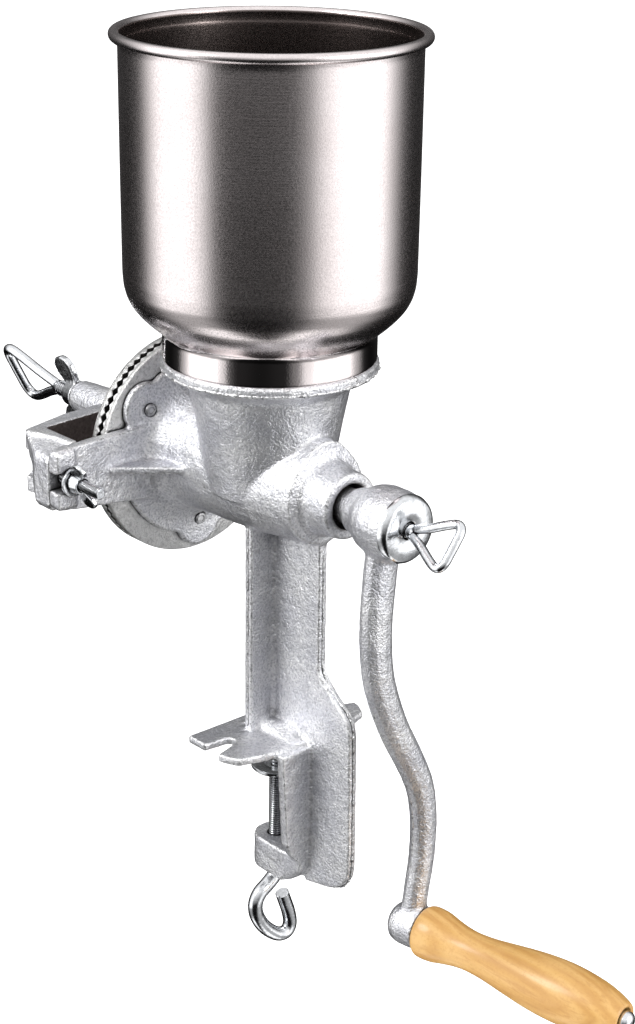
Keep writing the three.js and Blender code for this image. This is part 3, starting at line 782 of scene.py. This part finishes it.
def grip():
    outer = [(4, 0.25), (11.2, 0.15), (12.6, 0.9), (13.2, 2.2), (13.4, 5), (13, 10), (11.6, 16),
             (10.3, 23), (9.8, 30), (10.4, 40), (12.2, 53), (14.0, 67), (14.8, 80), (14.4, 91), (13, 102),
             (11, 110), (9.2, 114.8), (8.2, 116.6), (7.2, GRIP_LENGTH)]
    inner = [(6.3, GRIP_LENGTH - 0.4), (6, GRIP_LENGTH - 1.6), (6, 110.6), (5.6, 110), (4, 110)]
    profile = [tuple(p)[:2] for p in spline([(r, h, 0) for r, h in outer], 4)] + inner
    return along_grip(lathe(profile, "x", 96, closed=True))


def handle_bolt():
    profile = [(0, -16.4), (2.9, -16.4), (3.6, -15.6), (3.6, 110.3), (5.2, 110.3), (5.35, 110.7),
               (5.3, 113), (5.0, 114.4), (5.0, 117.6), (4.85, 118.9), (4.3, 119.9), (3.4, 120.6),
               (2.2, 121.0), (0, 121.15)]
    return along_grip(lathe(profile, "x", 48))


# ---- the scene ----
def world_node(tree, kind, **inputs):
    """A shader node with its inputs given by name, or by number as _0 and _1."""
    node = tree.nodes.new("ShaderNode" + kind)
    for key, value in inputs.items():
        socket = node.inputs[int(key[1:])] if key.startswith("_") else node.inputs[key]
        if isinstance(value, bpy.types.NodeSocket):
            tree.links.new(value, socket)
        else:
            socket.default_value = value
    return node


def room_color(tree, direction, high):
    """Wide softboxes with a dark gap between them on the camera's side, under a white ceiling."""
    facing = world_node(tree, "Mapping", Vector=direction, Rotation=(0, 0, math.pi / 2 - CAMERA_AZ))
    around = world_node(tree, "TexGradient", Vector=facing.outputs[0])
    around.gradient_type = "RADIAL"
    ramp = world_node(tree, "ValToRGB", Fac=around.outputs["Fac"])
    ramp.color_ramp.interpolation = "EASE"
    fill_ramp(ramp.color_ramp, [(0.5 + degrees / 360, (value,) * 3) for degrees, value in ROOM])
    lift = world_node(tree, "MapRange", Value=high, **{"From Min": -0.2, "From Max": 0.65})
    mixed = tree.nodes.new("ShaderNodeMix")
    mixed.data_type = "RGBA"
    tree.links.new(lift.outputs[0], mixed.inputs[0])
    tree.links.new(ramp.outputs[0], mixed.inputs[6])
    mixed.inputs[7].default_value = CEILING
    return mixed.outputs[2]


def room_strength(tree, direction, high):
    """Dims what lies ahead of the camera and in a band well below the horizon."""
    ahead = (-math.sin(CAMERA_AZ) * math.cos(CAMERA_EL), math.cos(CAMERA_AZ) * math.cos(CAMERA_EL),
             -math.sin(CAMERA_EL))
    toward = world_node(tree, "VectorMath", _0=direction, _1=ahead)
    toward.operation = "DOT_PRODUCT"
    dim = world_node(tree, "MapRange", Value=toward.outputs["Value"],
                     **{"From Min": 0.1, "From Max": 0.65, "To Min": 1.0, "To Max": 0.12})
    level = world_node(tree, "MapRange", Value=high, **{"From Min": -1.0, "From Max": 0.0})
    below = world_node(tree, "ValToRGB", Fac=level.outputs[0])
    fill_ramp(below.color_ramp, [(at, (value,) * 3) for at, value in UNDERSIDE])
    shade = world_node(tree, "Math", _0=dim.outputs[0], _1=below.outputs[0])
    shade.operation = "MULTIPLY"
    return shade.outputs[0]


def studio_world():
    """A room seen only in reflections; the camera itself sees plain white."""
    world = bpy.data.worlds.new("studio")
    bpy.context.scene.world = world
    world.use_nodes = True
    tree = world.node_tree
    tree.nodes.clear()
    direction = world_node(tree, "TexCoord").outputs["Generated"]
    high = world_node(tree, "SeparateXYZ", Vector=direction).outputs["Z"]
    seen = world_node(tree, "Background", Color=(1, 1, 1, 1), Strength=1.0)
    lit = world_node(tree, "Background", Color=room_color(tree, direction, high),
                     Strength=room_strength(tree, direction, high))
    by_camera = world_node(tree, "LightPath").outputs["Is Camera Ray"]
    choice = world_node(tree, "MixShader", _0=by_camera, _1=lit.outputs[0], _2=seen.outputs[0])
    world_node(tree, "OutputWorld", Surface=choice.outputs[0])


def area_light(name, place_at, target, size, power):
    """A round lamp aimed at the target, its size in metres and its power in watts."""
    data = bpy.data.lights.new(name, "AREA")
    data.shape = "DISK"
    data.size = size
    data.energy = power
    light = bpy.data.objects.new(name, data)
    light.location = place_at
    light.rotation_euler = (Vector(target) - Vector(place_at)).to_track_quat("-Z", "Y").to_euler()
    bpy.context.scene.collection.objects.link(light)


def floor():
    """White paper far below the mill, left out of its reflections."""
    bm = bmesh.new()
    bmesh.ops.create_circle(bm, cap_ends=True, segments=96, radius=30)
    bmesh.ops.translate(bm, verts=bm.verts, vec=(0, 0, FLOOR_Z))
    mesh = bpy.data.meshes.new("floor")
    bm.to_mesh(mesh)
    bm.free()
    obj = bpy.data.objects.new("floor", mesh)
    bpy.context.scene.collection.objects.link(obj)
    s = Shader("white_paper", Roughness=0.9)
    tone = s.ramp(s.noise(40, 3), (0.3, 0.93), (0.7, 0.95))
    mesh.materials.append(s.wire(Base_Color=tone, Emission_Color=tone))
    s.surface.inputs["Emission Strength"].default_value = 0.6
    obj.visible_glossy = False


make_camera()
studio_world()
floor()
area_light("key", (-0.6, -1.5, 1.3), LIGHT_TARGET, 0.9, 21)
area_light("fill", (1.9, 0.5, 0.9), LIGHT_TARGET, 1.0, 17)
bpy.context.scene.view_settings.view_transform = "Standard"

CAST, SHEET, ZINC, STEEL, WOOD = cast_tin(), satin_sheet(), bright_zinc(), plain_steel(), varnished_wood()
# painted shade: the burrs' near-black facing faces and the bridge's dark inside
BURR_GAP_SHADE, BRIDGE_INSIDE_SHADE = burr_face_iron_and_shade(), bridge_inside_shade()
# a darker copy of the tinned casting material: painted shade on the burrs
BURR = cast_tin("burr_tin_painted_shade", (0.36, 0.355, 0.345), (0.42, 0.415, 0.40), 0.3)

casting("mill_casting", "mill_body", "frame", CAST, bare=mill_flash())
# the dark second material is painted shade inside the hopper
piece("hopper_shell", place(hopper()), "hopper_body", "hopper_sheet", SHEET, "hopper", sharp=60,
      second=satin_sheet("sheet_inside_painted_shade", (0.20, 0.165, 0.155), (0.27, 0.23, 0.22)))
piece("burr_fixed", place(burr(FIXED_FACE, FIXED_BACK, 20, 1)), "frame", "casting", BURR, "stationary_burr",
      second=BURR_GAP_SHADE)
piece("burr_turning", place(burr(TURNING_FACE, TURNING_BACK, 17, -1)), "rotor", "casting", BURR,
      "rotating_burr", second=BURR_GAP_SHADE)
for index, part in enumerate(rivets(), 1):
    piece(f"rivet_{index}", place(part), "frame", "plain_steel", STEEL, f"burr_rivet_{index}")
casting("carrier_casting", "burr_carrier", "rotor", CAST, voxel=0.5, fillet=1.0, lumps=0.1)
casting("auger_casting", "auger", "rotor", CAST, voxel=0.5, fillet=1.0, lumps=0.15, grain=0.2)
# the bridge's inner walls take the painted shade
casting("bridge_casting", "bridge", "frame", CAST, voxel=0.55, grain=0.2, second=BRIDGE_INSIDE_SHADE,
        chosen=inside_bridge)
casting("crank_casting", "crank", "rotor", CAST, bare=crank_flash(), voxel=0.6, fillet=1.8,
        smooth=4)
piece("hub_face", place(hub_face()), "rotor", "zinc_hardware", ZINC)
for side, tag in ((-1, "near"), (1, "far")):
    tip = box_mm(f"bridge_bolt_{tag}")[1].x
    piece(f"bolt_{tag}", place(bolt(side, tip)), "frame", "zinc_hardware", ZINC, f"bridge_bolt_{tag}")
    piece(f"washer_{tag}", place(washer(side)), f"washer_{tag}", "zinc_hardware", ZINC,
          f"bridge_washer_{tag}")
    casting(f"wing_nut_{tag}", f"bridge_wingnut_{tag}", f"nut_{tag}", ZINC, voxel=0.25,
            fillet=0.7, smooth=6, lumps=0.1, grain=0.03)
casting("wing_nut_lock", "lock_wingnut", "lock_nut", ZINC, voxel=0.35, fillet=1.2, smooth=8,
        lumps=0.15, grain=0.04)
piece("adjuster", place(adjusting_screw()), "adjuster", "zinc_hardware", ZINC, "adjusting_screw")
piece("hub_screw", place(thumbscrew()), "thumbscrew", "zinc_hardware", ZINC, "crank_thumbscrew")
piece("clamp_spindle", place(clamp_screw()), "clamp_spindle", "zinc_hardware", ZINC, "clamp_screw")
piece("clamp_pad", place(clamp_cup()), "clamp_pad", "zinc_hardware", ZINC, "clamp_cup")
piece("grip_wood", place(grip()), "grip", "grip_wood", WOOD, "handle_grip")
piece("grip_bolt", place(handle_bolt()), "rotor", "zinc_hardware", ZINC, "handle_bolt")
for node, material in (("drive_pin", STEEL), ("carrier_screw_1", ZINC), ("carrier_screw_2", ZINC),
                       ("thrust_ball", STEEL)):
    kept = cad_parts[node]
    kept.data.materials.clear()
    kept.data.materials.append(material)
